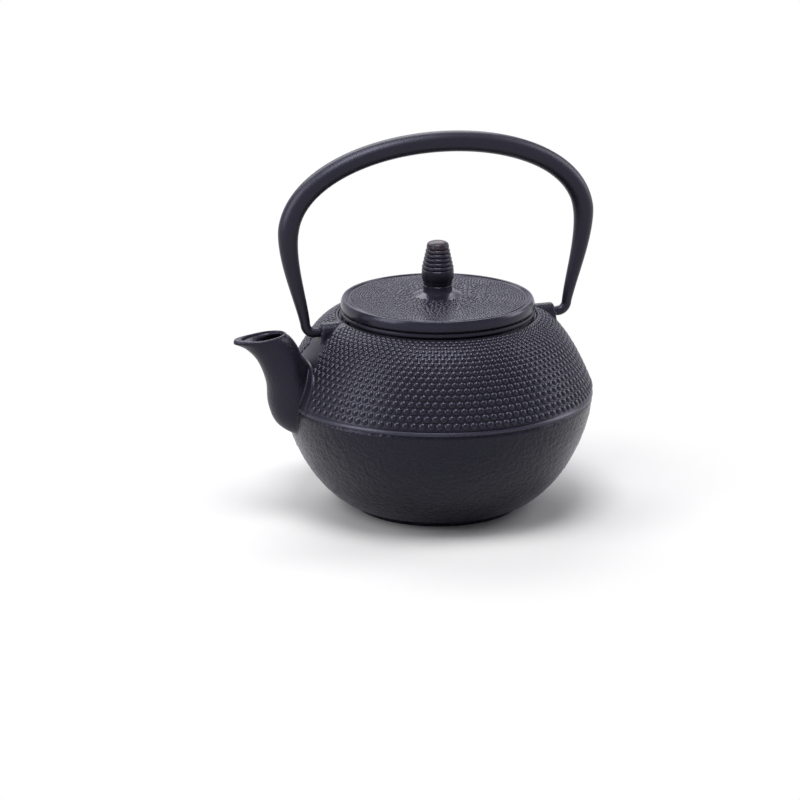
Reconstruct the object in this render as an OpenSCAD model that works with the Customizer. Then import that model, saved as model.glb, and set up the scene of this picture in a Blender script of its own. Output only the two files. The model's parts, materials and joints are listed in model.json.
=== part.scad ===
// Cast iron teapot with a hobnail shoulder, a lift-off lid, a steel bail and a tea basket.
// +Z is up. The origin is on the pot's own axis, on the plane of the foot ring.
// The spout points along -X, and the bail swings about the X direction.
// All sizes are in millimetres.

/* [Pot body] */
// Radius of the belly at the raised seam
belly_r = 84.5; // [78:0.5:90]
// Height of the seam above the foot plane
seam_z = 62.5; // [57:0.5:68]
// Height of the mouth rim above the foot plane
mouth_z = 110.6; // [108:0.2:116]
// Outer radius of the plain collar under the lid
collar_r = 51.8; // [50:0.1:55]
// Visible height of the plain collar
collar_h = 4.1; // [3:0.1:5.5]
// Radius of the mouth above its ledge
mouth_r = 45.5; // [44:0.1:47]
// Radius of the hole inside the ledge that carries the tea basket
ledge_r = 42; // [41:0.1:43]
// Depth of the ledge below the mouth rim
ledge_depth = 6; // [5:0.1:8]
// Thickness of the cast wall
wall = 3.6; // [3:0.1:4.5]
// Thickness of the floor above the foot recess
floor_t = 4.5; // [3.5:0.1:6]
// Outer radius of the foot ring
foot_r = 46; // [40:0.5:52]
// Width of the foot ring
foot_w = 5; // [3:0.5:8]
// Height of the foot ring, and depth of the recess inside it
foot_h = 2; // [1.2:0.1:3]
// How far the raised bead stands out along the seam
seam_bead = 0.9; // [0.5:0.1:1.3]
// Height of the smooth band above the seam
seam_band = 3; // [2:0.1:4.5]

/* [Spout] */
// How far the lip of the spout reaches past the belly
spout_reach = 30; // [25:0.5:34]
// Height of the lip above the seam
spout_rise = 39.4; // [36:0.2:43]
// Length of the mouth of the spout, from its lip back to its heel
spout_mouth_l = 29; // [25:0.5:31]
// Width of the mouth of the spout
spout_mouth_w = 18; // [15:0.5:21]
// Width of the spout where it leaves the belly
spout_root_w = 28; // [24:0.5:32]
// Thickness of the spout's wall
spout_wall = 2.6; // [2.2:0.1:3.2]

/* [Bail ears] */
// Height of the bail's pins measured from the mouth rim, negative below it
ear_drop = -9; // [-9.8:0.1:-8.4]
// Distance from the pot's axis to the outer face of each ear
ear_x = 66.6; // [65:0.1:68.5]
// Radius of the rounded top of each ear
ear_r = 5; // [4.6:0.1:5.6]
// Width of each ear where it runs into the shoulder
ear_base_w = 19; // [15:0.5:24]
// Depth of the blind hole in each ear
ear_hole_depth = 8; // [6:0.5:9]

/* [Bail handle] */
// Height of the bail's top, on its centre line, above its pins
bail_rise = 99.2; // [92:0.2:106]
// Half the widest spread of the bail, on its centre line
bail_spread = 83.9; // [81:0.1:90]
// Height of the widest place above the pins
bail_wide_h = 53; // [46:0.5:58]
// Thickness of the bail over its arch
bail_d = 11.2; // [9:0.1:12]
// Thickness of the bail at its hooked ends, which are also its pins
bail_pin_d = 4.8; // [4.2:0.1:5.2]
// Radial clearance of each pin in its ear
bail_pin_gap = 0.3; // [0.2:0.05:0.4]
// Radius of the bend from each pin up into the leg
bail_bend_r = 5.2; // [4:0.1:6.5]

/* [Lid] */
// Outer radius of the lid
lid_r = 52.4; // [52:0.1:56]
// Height of the lid's rim
lid_rim_h = 4.6; // [4.2:0.1:6]
// Rise of the dome from the rim to its middle
lid_dome = 2; // [1:0.1:4]
// Thickness of the lid's plate
lid_t = 3; // [2.5:0.1:3.6]
// Radial clearance of the lid's skirt in the mouth
lid_fit = 0.6; // [0.4:0.1:1]
// Thickness of the lid's skirt
skirt_t = 3.4; // [2.5:0.1:4]
// Gap between faces that rest on each other
seat_gap = 0.2; // [0.1:0.05:0.3]

/* [Knob] */
// Radius of the knob's smooth band
knob_r = 8.65; // [8.2:0.05:10]
// Radius of the neck that the knob stands on
neck_r = 7.8; // [7:0.05:8]
// Height of the knob
knob_h = 24.2; // [22:0.1:30]
// Height of the smooth band
knob_band_h = 4; // [3.5:0.1:6.5]
// Number of ribs turned round the knob
knob_ribs = 7; // [5:1:9]
// Radius of the knob's tip just above the last rib
knob_tip_r = 5.9; // [5:0.1:6.5]
// Diameter of the screw that holds the knob
screw_d = 4; // [3:0.1:4.5]
// Length of thread inside the knob
screw_grip = 10; // [7:0.5:13]

/* [Tea basket] */
// Depth of the basket below the ledge
basket_depth = 54; // [42:0.5:58]
// Thickness of the basket's sheet steel
sheet_t = 0.6; // [0.5:0.05:0.8]
// Thickness of the basket's rim
basket_rim_t = 1; // [0.8:0.05:1.3]
// Width of the band round the basket's foot
basket_band_h = 5; // [4:0.1:8]
// Clearance of the basket in the ledge
basket_fit = 0.5; // [0.4:0.1:0.9]
// Diameter of each hole in the basket's wall and floor
basket_hole_d = 2.8; // [2:0.1:3.2]
// Number of holes round the basket's wall
basket_columns = 28; // [20:1:30]
// Number of rows of holes up the basket's wall
basket_rows = 6; // [4:1:7]

/* [Hidden] */
$fn = 96;

IRON = "#2f2f37";
STEEL = "#3a3a42";
BARE = "#b9bcc0";

// ---- curves ----
function bezier(p, t) =
    pow(1 - t, 3) * p[0] + 3 * pow(1 - t, 2) * t * p[1] + 3 * (1 - t) * t * t * p[2] + pow(t, 3) * p[3];
function bezier_slope(p, t) =
    3 * pow(1 - t, 2) * (p[1] - p[0]) + 6 * (1 - t) * t * (p[2] - p[1]) + 3 * t * t * (p[3] - p[2]);
function unit(v) = v / norm(v);
// Points along a curve, moved sideways by d: to the left of its direction of travel
function curve(p, n, d = 0) = [
    for (i = [0:n]) let (t = i / n, s = unit(bezier_slope(p, t))) bezier(p, t) + d * [-s[1], s[0]]
];
// A smooth line through stations of equal length rows, n steps between each two
function through(rows, n) = [
    for (i = [0:len(rows) - 2]) for (j = [0:n - 1])
        let (
            a = rows[max(i - 1, 0)],
            b = rows[i],
            c = rows[i + 1],
            d = rows[min(i + 2, len(rows) - 1)],
            t = j / n
        )
        0.5 * (2 * b + (c - a) * t + (2 * a - 5 * b + 4 * c - d) * t * t
               + (3 * b - a - 3 * c + d) * pow(t, 3)),
    rows[len(rows) - 1]
];
// A closed skin over a list of rings that all have the same number of points
module skin(rings) {
    n = len(rings[0]);
    last = len(rings) - 1;
    polyhedron(
        points = [for (ring = rings) for (p = ring) p],
        faces = concat(
            [[for (k = [0:n - 1]) k]],
            [for (i = [0:last - 1]) for (k = [0:n - 1])
                let (a = i * n + k, b = i * n + (k + 1) % n) each [[a, a + n, b], [b, a + n, b + n]]],
            [[for (k = [n - 1:-1:0]) last * n + k]]
        )
    );
}

// ---- pot body ----
collar_z = mouth_z - collar_h;
ledge_z = mouth_z - ledge_depth;
shoulder_z = seam_z + seam_band;
floor_z = foot_h + floor_t;
// The wall beside the seam lies this far inside the belly's radius
seam_step = 0.4;
side_r = belly_r - seam_step;
// How far the bowl spreads and rises beside the foot, and how far below the seam its side stands upright
bowl_spread = 23;
bowl_rise = 7;
bowl_side = 18;
// How steeply the shoulder starts, and how long it runs nearly flat beside the collar
shoulder_rise = 9.4;
shoulder_lean = 3.8;
shoulder_flat = 15.8;
// The bowl climbs from the foot to the seam, and the shoulder from the band to the collar
bowl = [[foot_r, foot_h], [foot_r + bowl_spread, foot_h + bowl_rise],
        [side_r, seam_z - bowl_side], [side_r, seam_z - 1]];
shoulder = [[side_r, shoulder_z], [side_r - shoulder_lean, shoulder_z + shoulder_rise],
            [collar_r + shoulder_flat, collar_z + 0.2], [collar_r, collar_z]];

bowl_steps = 16;
shoulder_steps = 14;

pot_outline = concat(
    [[0, foot_h], [foot_r - foot_w, foot_h], [foot_r - foot_w, 0.4], [foot_r - foot_w + 0.4, 0],
     [foot_r - 0.6, 0], [foot_r, 0.6]],
    curve(bowl, bowl_steps),
    // the bead: a half round that stands out at the seam
    [for (a = [-60:30:90]) [belly_r - seam_bead + seam_bead * cos(a), seam_z + seam_bead * sin(a)]],
    curve(shoulder, shoulder_steps),
    [[collar_r, mouth_z - 0.6], [collar_r - 0.6, mouth_z], [0, mouth_z]]
);

module pot_outside(grow = 0) {
    rotate_extrude()
        polygon([for (p = pot_outline) [p[0] > 0 ? p[0] + grow : 0, p[1]]]);
}

module pot_hollow() {
    rotate_extrude()
        polygon(concat(
            [[0, floor_z]],
            [for (p = curve(bowl, bowl_steps, wall)) if (p[1] > floor_z + 0.5) p],
            [for (p = curve(shoulder, shoulder_steps, wall)) if (p[0] > ledge_r + wall) p],
            [[ledge_r, ledge_z - wall + 1], [ledge_r, ledge_z], [mouth_r, ledge_z],
             [mouth_r, mouth_z - 0.5], [mouth_r + 0.5, mouth_z],
             [mouth_r + 0.5, mouth_z + 1], [0, mouth_z + 1]]
        ));
}

// Spout stations from its root to its mouth: outer edge (x, z), inner edge (x, z), half width.
// x counts from the belly and z from the seam.
lip_x = spout_reach;
heel_x = spout_reach - spout_mouth_l;
stations = [
    [-10.5, -17, -19, 21.5, spout_root_w / 2],
    [-2.5, -15.8, -14.5, 22, spout_root_w / 2],
    [6.8, -9, -11.5, 23, spout_root_w / 2 - 0.6],
    [11, 1.5, -9.5, 24.8, spout_root_w / 2 - 1.3],
    [12, 13.5, -6.7, 28.6, spout_root_w / 2 - 2.3],
    [16.6, spout_rise - 13.7, -4.6, spout_rise - 5.9, spout_mouth_w / 2 + 1.1],
    [lip_x - 6.8, spout_rise - 6.2, heel_x - 2.4, spout_rise - 1.3, spout_mouth_w / 2 + 0.3],
    [lip_x, spout_rise - 1.5, heel_x, spout_rise + 0.6, spout_mouth_w / 2]
];
// The lip and the rim of the mouth are rounded off by this much
lip_round = 1.1;

// One ring of the spout: an oval that narrows towards the lip as it nears the mouth
function spout_ring(s, inset, t, sides) =
    let (
        low = [belly_r + s[0], seam_z + s[1]],
        high = [belly_r + s[2], seam_z + s[3]],
        middle = (low + high) / 2,
        half = norm(low - high) / 2 - inset,
        dir = unit(low - high),
        egg = 0.12 * t * t
    )
    [for (k = [0:sides - 1])
        let (
            a = -360 * k / sides,
            u = half * cos(a),
            v = (s[4] - inset) * sin(a) * (1 - egg * cos(a))
        )
        [-(middle[0] + u * dir[0]), v, middle[1] + u * dir[1]]];
function spout_rings(inset, sides) =
    let (rows = through(stations, 3), n = len(rows) - 1)
    [for (i = [0:n]) spout_ring(rows[i], inset, i / n, sides)];
function moved(ring, v) = [for (p = ring) p + v];

// A thin bead on the shoulder frames the smooth field from which the spout grows
field_half_w = 21;
field_h = 23;
field_bead_r = 0.9;
function shoulder_r(z) = lookup(z, [for (p = curve(shoulder, 40)) [p[1], p[0]]]);
function field_half_at(h) = field_half_w * sqrt(max(0, 1 - pow(h / (field_h + 0.5), 3.2)));
// Heights climb to the top of the field and come down on its other side
function field_point(turn) =
    let (
        h = field_h * pow(sin(turn), 0.8),
        y = sign(90 - turn) * field_half_at(h),
        r = shoulder_r(shoulder_z + h)
    )
    [-sqrt(r * r - y * y), y, shoulder_z + h];
module field_bead() {
    line = concat(
        [[-sqrt(pow(side_r, 2) - pow(field_half_w, 2)), field_half_w, seam_z]],
        [for (turn = [0:6:180]) field_point(turn)],
        [[-sqrt(pow(side_r, 2) - pow(field_half_w, 2)), -field_half_w, seam_z]]
    );
    last = len(line) - 1;
    skin([for (i = [0:last])
        let (
            dir = unit(line[min(i + 1, last)] - line[max(i - 1, 0)]),
            out = unit([line[i][0], line[i][1], 0]),
            across = unit(cross(out, dir)),
            up = cross(dir, across)
        )
        [for (k = [0:9]) let (a = -36 * k) line[i] + field_bead_r * (cos(a) * up + sin(a) * across)]]);
}

// ---- hobnails ----
// Rows of hobnails ring the shoulder. Every row has as many of them, so they shrink towards the collar.
// Each row is a low ridge with the mean height of its hobnails, and the ridges meet on the shoulder.
dots_in_row = 116;
first_row = 2.2;
last_row_gap = 1.6;
// Height of a ridge, as a share of the pitch in its row
ridge_share = 0.16;
// Distance from row to row, as a share of the pitch in a row, by the distance from the seam band
row_share = [[13, 0.86], [36, 0.7]];
shoulder_line = curve(shoulder, 60);
function shoulder_step(i) = norm(shoulder_line[min(i + 1, 60)] - shoulder_line[i]);
shoulder_walk = [for (i = 0, s = 0; i <= 60; s = s + shoulder_step(i), i = i + 1) s];
function on_shoulder(s) =
    [for (k = [0, 1]) lookup(s, [for (i = [0:60]) [shoulder_walk[i], shoulder_line[i][k]]])];
// The point at a distance along the shoulder, lifted off its surface
function shoulder_at(s, lift = 0) =
    let (slope = unit(on_shoulder(s + 0.3) - on_shoulder(s - 0.3)))
    on_shoulder(s) + lift * [slope[1], -slope[0]];
function dot_pitch(s) = 2 * PI * shoulder_at(s)[0] / dots_in_row;
function row_step(s) = dot_pitch(s) * lookup(s, row_share);
row_places = [for (s = first_row; s < shoulder_walk[60] - last_row_gap; s = s + row_step(s)) s];

module dot_rows() {
    difference() {
        rotate_extrude()
            polygon(concat(
                [for (s = row_places)
                    let (w = row_step(s), h = ridge_share * dot_pitch(s))
                    each [shoulder_at(s - w / 2), shoulder_at(s - 0.18 * w, h),
                          shoulder_at(s + 0.18 * w, h)]],
                [for (i = [len(row_places) - 1:-1:0]) shoulder_at(row_places[i], -1)]
            ));
        // the smooth field round the spout
        translate([-belly_r - 5, 0, shoulder_z])
            rotate([90, 0, 90])
                linear_extrude(belly_r - 20)
                    polygon(concat(
                        [[-field_half_w, -5], [field_half_w, -5]],
                        [for (turn = [0:6:180]) let (h = field_h * pow(sin(turn), 0.8))
                            [sign(90 - turn) * field_half_at(h), h]]
                    ));
    }
}

// The bore starts inside the hollow and runs out past the lip
module spout_bore() {
    rings = spout_rings(spout_wall, 24);
    skin(concat([moved(rings[0], [8, 0, 0])], rings, [moved(rings[len(rings) - 1], [0, 0, 3])]));
}

// The spout fits the belly's outside, with a hair of clearance along the joint
spout_joint = 0.1;
module spout() {
    rounded = moved(spout_ring(stations[len(stations) - 1], lip_round, 1, 32), [0, 0, lip_round]);
    color(IRON)
        difference() {
            skin(concat(spout_rings(0, 32), [rounded]));
            pot_outside(spout_joint);
            spout_bore();
        }
}

// ---- bail ears ----
pin_z = mouth_z + ear_drop;
pin_r = bail_pin_d / 2;
// How far below the pins the ear's foot lies, and how far its outer face leans out there
ear_foot = 14.6;
ear_lean = 3.6;
ear_in = collar_r - 2;
// The ear's section, across its ridge: a round top, and flanks that hollow out towards the foot
ear_flank = curve([[ear_r, 0], [ear_r, -ear_foot / 3],
                   [ear_r + 0.6, -2 * ear_foot / 3], [ear_base_w / 2, -ear_foot]], 8);
module ear() {
    intersection() {
        translate([ear_in, 0, pin_z])
            rotate([90, 0, 90])
                linear_extrude(ear_x + ear_lean - ear_in)
                    polygon(concat(
                        [for (i = [8:-1:1]) ear_flank[i]],
                        [for (a = [0:7.5:180]) ear_r * [cos(a), sin(a)]],
                        [for (i = [1:8]) [-ear_flank[i][0], ear_flank[i][1]]]
                    ));
        translate([0, ear_base_w, pin_z])
            rotate([90, 0, 0])
                linear_extrude(2 * ear_base_w)
                    polygon([[ear_in - 1, -ear_foot - 1],
                             [ear_x + ear_lean * (ear_foot + 1) / ear_foot, -ear_foot - 1],
                             [ear_x, 0], [ear_x, ear_r + 1], [ear_in - 1, ear_r + 1]]);
    }
}
// Iron round the inner end of the pin's hole, which reaches past the wall into the hollow
module ear_boss() {
    translate([collar_r + 1, 0, pin_z])
        rotate([0, 90, 0])
            cylinder(h = ear_x - collar_r - 2, r = ear_r - 0.3, $fn = 32);
}
module ear_hole() {
    translate([ear_x - ear_hole_depth, 0, pin_z])
        rotate([0, 90, 0])
            cylinder(h = ear_hole_depth + 6, r = pin_r + bail_pin_gap);
}

module pot_body() {
    color(IRON)
        difference() {
            union() {
                difference() {
                    union() {
                        pot_outside();
                        dot_rows();
                        field_bead();
                        for (side = [0, 180])
                            rotate([0, 0, side])
                                ear();
                    }
                    pot_hollow();
                    spout_bore();
                }
                for (side = [0, 180])
                    rotate([0, 0, side])
                        ear_boss();
            }
            for (side = [0, 180])
                rotate([0, 0, side])
                    ear_hole();
        }
}

// ---- lid ----
lid_z = mouth_z + seat_gap;
rim_z = lid_z + lid_rim_h;
skirt_r = mouth_r - lid_fit;
skirt_z = ledge_z + basket_rim_t + 1.1;
bead_r = lid_r - 1.4;
plate_r = bead_r - 3;
boss_r = neck_r + 6;
// How far the knob's neck stands above the middle of the dome, and the height of its upright ring
neck_rise = 5.1;
neck_ring = 2.1;
neck_z = rim_z + lid_dome + neck_rise;
function dome_z(r) = rim_z - 0.3 + lid_dome * (1 - pow(r / plate_r, 2));
pad_z = dome_z(boss_r) - lid_t + 0.6;

module lid() {
    color(IRON)
        difference() {
            rotate_extrude()
                polygon(concat(
                    // under the plate, then down the skirt and out along the seat
                    [[0, pad_z], [boss_r - 1, pad_z], [boss_r, dome_z(boss_r) - lid_t]],
                    [for (i = [1:5])
                        let (r = boss_r + (skirt_r - skirt_t - 3 - boss_r) * i / 5) [r, dome_z(r) - lid_t]],
                    [[skirt_r - skirt_t, lid_z - 0.5], [skirt_r - skirt_t, skirt_z + 0.4],
                     [skirt_r - skirt_t + 0.4, skirt_z], [skirt_r - 0.8, skirt_z], [skirt_r, skirt_z + 0.8],
                     [skirt_r, lid_z], [lid_r - 1.8, lid_z]],
                    // the rim's face, its bead and the groove behind the bead
                    [[lid_r - 0.5, lid_z + 0.8], [lid_r, lid_z + 1.8],
                     [lid_r, rim_z - 1.7], [lid_r - 0.5, rim_z - 0.8]],
                    [for (a = [30:30:150]) [bead_r - 0.2 + 0.9 * cos(a), rim_z - 0.9 + 0.9 * sin(a)]],
                    [[bead_r - 1.6, rim_z - 0.7], [plate_r + 0.7, rim_z - 0.7]],
                    // the dome, then the cone that carries the neck
                    [for (i = [0:7]) let (r = plate_r + (boss_r - plate_r) * i / 7) [r, dome_z(r)]],
                    curve([[boss_r - 0.5, dome_z(boss_r) + 0.15], [boss_r - 2.2, dome_z(boss_r) + 0.9],
                           [neck_r + 1.4, neck_z - neck_ring - 1.6], [neck_r, neck_z - neck_ring]], 6),
                    [[neck_r, neck_z], [0, neck_z]]
                ));
            translate([0, 0, pad_z - 1])
                cylinder(h = neck_z - pad_z + 2, d = screw_d + 0.5);
        }
}

// ---- knob ----
rib_z = neck_z + 2.4 + knob_band_h;
rib_top = neck_z + knob_h - 2.3;
rib_pitch = (rib_top - rib_z) / knob_ribs;
// The ribs get smaller towards the tip
function rib_r(i) = knob_r - 0.1 - (knob_r - 0.1 - knob_tip_r) * i / (knob_ribs - 0.6);

module knob() {
    color(IRON)
        difference() {
            rotate_extrude()
                polygon(concat(
                    [[0, neck_z], [neck_r - 0.6, neck_z], [knob_r - 0.2, neck_z + 2], [knob_r, neck_z + 2.4],
                     [knob_r, rib_z - 0.5], [knob_r - 0.5, rib_z]],
                    [for (i = [0:knob_ribs - 1]) for (a = [-60:30:60])
                        [rib_r(i) - 0.9 + 0.9 * cos(a),
                         rib_z + (i + 0.5) * rib_pitch + 0.46 * rib_pitch * sin(a) / sin(60)]],
                    [for (a = [0:15:90])
                        [knob_tip_r * cos(a), rib_top + (neck_z + knob_h - rib_top) * sin(a)]]
                ));
            translate([0, 0, neck_z - 1])
                cylinder(h = screw_grip + 2.5, d = screw_d + 0.1);
        }
}

// ---- screw and washer ----
washer_t = 0.8;
washer_z = pad_z - washer_t;
head_h = 2.4;
head_r = screw_d / 2 + 1.8;

module knob_washer() {
    color(BARE)
        translate([0, 0, washer_z])
            difference() {
                cylinder(h = washer_t, r = screw_d / 2 + 3);
                translate([0, 0, -1])
                    cylinder(h = washer_t + 2, d = screw_d + 0.3);
            }
}
module knob_screw() {
    color(BARE)
        difference() {
            union() {
                translate([0, 0, washer_z - 0.1])
                    cylinder(h = neck_z + screw_grip - washer_z + 0.1, d = screw_d);
                rotate_extrude()
                    polygon([[0, washer_z - head_h], [head_r - 0.9, washer_z - head_h],
                             [head_r, washer_z - head_h + 1], [head_r, washer_z], [0, washer_z]]);
            }
            // the screwdriver slot
            translate([-head_r - 1, -0.5, washer_z - head_h - 1])
                cube([2 * head_r + 2, 1, 2]);
        }
}

// ---- bail handle ----
wide_z = pin_z + bail_wide_h;
top_z = pin_z + bail_rise;
bend_x = ear_x + 3;
leg_x = bend_x + bail_bend_r;
leg_z = pin_z + bail_bend_r;
// How the leg leaves the bend and how far it nears the widest place upright
leg_kick = 2.4;
leg_start = 14;
leg_end = 16;
// How far the arch goes on upright past the widest place, and half the length of its flat top
arch_side = 28.4;
arch_top = 45;
leg = [[leg_x, leg_z], [leg_x + leg_kick, leg_z + leg_start],
       [bail_spread, wide_z - leg_end], [bail_spread, wide_z]];
arch = [[bail_spread, wide_z], [bail_spread, wide_z + arch_side], [arch_top, top_z], [0, top_z]];
// The bar is a little thicker than its pins at the bend, and grows evenly until it has its full thickness
bail_end_d = bail_pin_d + 0.5;
function bail_bar_r(z) =
    min(bail_d, bail_end_d + (bail_d - bail_end_d) * max(0, (z - leg_z) / (wide_z - leg_z + 4))) / 2;
function right_half() = concat(
    [for (a = [0:18:80]) [bend_x + bail_bend_r * sin(a), pin_z + bail_bend_r * (1 - cos(a))]],
    curve(leg, 10),
    [for (p = curve(arch, 14)) if (p[0] < bail_spread - 0.01) p]
);

module bail_handle() {
    half = right_half();
    n = len(half) - 1;
    line = concat(half, [for (i = [n - 1:-1:0]) [-half[i][0], half[i][1]]]);
    last = len(line) - 1;
    sides = 20;
    color(STEEL)
        union() {
            skin([for (i = [0:last])
                let (
                    dir = i == 0 ? [1, 0] : i == last ? [1, 0] : unit(line[i + 1] - line[i - 1]),
                    side = [dir[1], -dir[0]],
                    r = bail_bar_r(line[i][1])
                )
                [for (k = [0:sides - 1]) let (a = 360 * k / sides)
                    [line[i][0] + r * cos(a) * side[0], r * sin(a), line[i][1] + r * cos(a) * side[1]]]]);
            for (side = [0, 180])
                rotate([0, 0, side])
                    translate([ear_x - ear_hole_depth + 1, 0, pin_z])
                        rotate([0, 90, 0])
                            cylinder(h = bend_x - ear_x + ear_hole_depth + 0.5, r = pin_r);
        }
}

// ---- tea basket ----
basket_z = ledge_z + seat_gap;
basket_foot_z = ledge_z - basket_depth;
collar_out_r = ledge_r - basket_fit;
// Gap between sheets that are rolled or spot welded together
basket_joint = 0.1;
wall_out_r = collar_out_r - sheet_t - basket_joint;
// Depth of the rim's collar, and the distance of its flange from the mouth's wall
basket_collar_h = 6;
basket_flange_gap = 0.9;
// Plain sheet that is left below the lowest holes and above the highest
basket_plain_low = 3.5;
basket_plain_high = 10;

module infuser_rim() {
    flange_r = mouth_r - basket_flange_gap;
    color(BARE)
        rotate_extrude()
            polygon([[collar_out_r - sheet_t, basket_z - basket_collar_h],
                     [collar_out_r, basket_z - basket_collar_h],
                     [collar_out_r, basket_z],
                     [flange_r, basket_z], [flange_r, basket_z + basket_rim_t - 0.3],
                     [flange_r - 0.3, basket_z + basket_rim_t],
                     [collar_out_r - sheet_t + 0.5, basket_z + basket_rim_t],
                     [collar_out_r - sheet_t, basket_z + basket_rim_t - 0.5]]);
}

module infuser_wall() {
    rows_low = basket_foot_z + basket_band_h + basket_plain_low;
    rows_high = basket_z - basket_plain_high;
    step = (rows_high - rows_low) / (basket_rows - 1);
    color(BARE)
        difference() {
            translate([0, 0, basket_foot_z])
                cylinder(h = basket_z - 0.5 - basket_foot_z, r = wall_out_r);
            translate([0, 0, basket_foot_z - 1])
                cylinder(h = basket_z - basket_foot_z + 2, r = wall_out_r - sheet_t);
            for (row = [0:basket_rows - 1])
                for (i = [0:basket_columns - 1])
                    rotate([0, 0, 360 * (i + row % 2 / 2) / basket_columns])
                        translate([wall_out_r - 5, 0, rows_low + row * step])
                            rotate([0, 90, 0])
                                cylinder(h = 10, d = basket_hole_d, $fn = 24);
        }
}

module infuser_base() {
    base_r = wall_out_r - sheet_t - basket_joint;
    rings = 5;
    pitch = (base_r - 3) / (rings + 0.5);
    color(BARE)
        translate([0, 0, basket_foot_z])
            linear_extrude(sheet_t)
                difference() {
                    circle(base_r);
                    circle(d = basket_hole_d, $fn = 24);
                    for (ring = [1:rings])
                        for (i = [0:6 * ring - 1])
                            rotate(60 * i / ring)
                                translate([ring * pitch, 0])
                                    circle(d = basket_hole_d, $fn = 24);
                }
}

module infuser_band() {
    color(BARE)
        translate([0, 0, basket_foot_z])
            difference() {
                cylinder(h = basket_band_h, r = wall_out_r + basket_joint + sheet_t);
                translate([0, 0, -1])
                    cylinder(h = basket_band_h + 2, r = wall_out_r + basket_joint);
            }
}

pot_body();
spout();
lid();
knob();
knob_screw();
knob_washer();
bail_handle();
infuser_rim();
infuser_wall();
infuser_base();
infuser_band();
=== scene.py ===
# %% [markdown]
# # A cast iron teapot
# The CAD model holds the pot's sizes, its joints and its inner pieces. This script dresses it. The casting,
# the lid, the knob and the bail are remade here as smooth, fine meshes, because their looks come from things
# that a CAD solid leaves out: rows of cast dots, soft fillets and the skin that the sand mould leaves.

# %% Load the frame
import json
import math
import random

import bmesh
import bpy
from mathutils import Matrix, Vector


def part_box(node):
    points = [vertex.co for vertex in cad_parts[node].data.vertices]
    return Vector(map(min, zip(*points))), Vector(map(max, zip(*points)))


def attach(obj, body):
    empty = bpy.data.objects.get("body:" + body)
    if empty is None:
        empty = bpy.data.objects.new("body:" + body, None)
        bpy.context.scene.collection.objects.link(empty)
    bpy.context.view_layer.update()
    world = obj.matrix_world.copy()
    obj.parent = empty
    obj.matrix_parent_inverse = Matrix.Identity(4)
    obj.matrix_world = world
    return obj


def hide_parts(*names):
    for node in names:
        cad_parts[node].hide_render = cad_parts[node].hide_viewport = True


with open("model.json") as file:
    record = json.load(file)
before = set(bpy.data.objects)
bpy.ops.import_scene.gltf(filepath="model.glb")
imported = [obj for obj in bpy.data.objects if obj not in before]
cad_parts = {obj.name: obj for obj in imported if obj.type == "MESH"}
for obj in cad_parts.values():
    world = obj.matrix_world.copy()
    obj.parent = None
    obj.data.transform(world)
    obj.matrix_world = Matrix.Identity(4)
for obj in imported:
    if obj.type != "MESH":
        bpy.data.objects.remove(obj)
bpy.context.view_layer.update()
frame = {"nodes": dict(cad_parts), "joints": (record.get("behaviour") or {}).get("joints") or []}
nodes = frame["nodes"]
print("nodes:", sorted(nodes))

# %% [markdown]
# ## Sizes
# Every piece is in metres, and sizes are given in millimetres times MM. The large sizes are read from the
# boxes of the CAD nodes, so the looks follow the construction. The small ones are those of the casting.

# %% Driving sizes
MM = 0.001
pot_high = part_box("pot_body")[1]
lid_low, lid_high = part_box("lid")
knob_low, knob_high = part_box("knob")
spout_low, spout_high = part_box("spout")

belly_r = pot_high.y
mouth_z = pot_high.z
seam_z = 62.5 * MM
seam_band = 3 * MM
collar_r = 51.8 * MM
collar_z = mouth_z - 4.1 * MM
mouth_r = 45.5 * MM
ledge_r = 42 * MM
ledge_z = mouth_z - 6 * MM
wall = 3.6 * MM
foot_r = 46 * MM
foot_w = 5 * MM
foot_h = 2 * MM
floor_z = 6.5 * MM
pin_z = next(j for j in frame["joints"] if j["name"] == "bail_swing")["pos_m"][2]
print("belly radius %.1f mm, mouth at %.1f mm, pins at %.1f mm" % (belly_r / MM, mouth_z / MM, pin_z / MM))

# %% [markdown]
# ## Small helpers
# A Bezier curve gives each round stretch of an outline from four points. Turned pieces are drawn as half an
# outline, one extruded vertex after another, and spun round the pot's axis, as a foundry turns its patterns.

# %% Curves
def bezier(points, t):
    a, b, c, d = points
    return (1 - t) ** 3 * a + 3 * (1 - t) ** 2 * t * b + 3 * (1 - t) * t * t * c + t ** 3 * d


def curve(points, count):
    """count + 1 points along a Bezier curve."""
    points = [Vector(p) for p in points]
    return [bezier(points, i / count) for i in range(count + 1)]


def beside(line, distance):
    """The same line moved sideways, to the left of its direction of travel."""
    moved = []
    for i, point in enumerate(line):
        along = (line[min(i + 1, len(line) - 1)] - line[max(i - 1, 0)]).normalized()
        moved.append(point + distance * Vector((-along.y, along.x)))
    return moved


def arc(centre, radius, start, end, count):
    """Points on a round corner, with its angles in degrees."""
    turn = [math.radians(start + (end - start) * i / count) for i in range(count + 1)]
    return [Vector((centre[0] + radius * math.cos(a), centre[1] + radius * math.sin(a))) for a in turn]


def steps_from(r, z, steps):
    """Points that lie (out, up) millimetres from one place of an outline."""
    return [Vector((r + out * MM, z + up * MM)) for out, up in steps]


# %% Starting, spinning and finishing a piece
def select_only(*pieces):
    """Selects these pieces and nothing else, and makes the first one active."""
    bpy.ops.object.select_all(action="DESELECT")
    for piece in pieces:
        piece.select_set(True)
        bpy.context.view_layer.objects.active = pieces[0]


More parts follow.
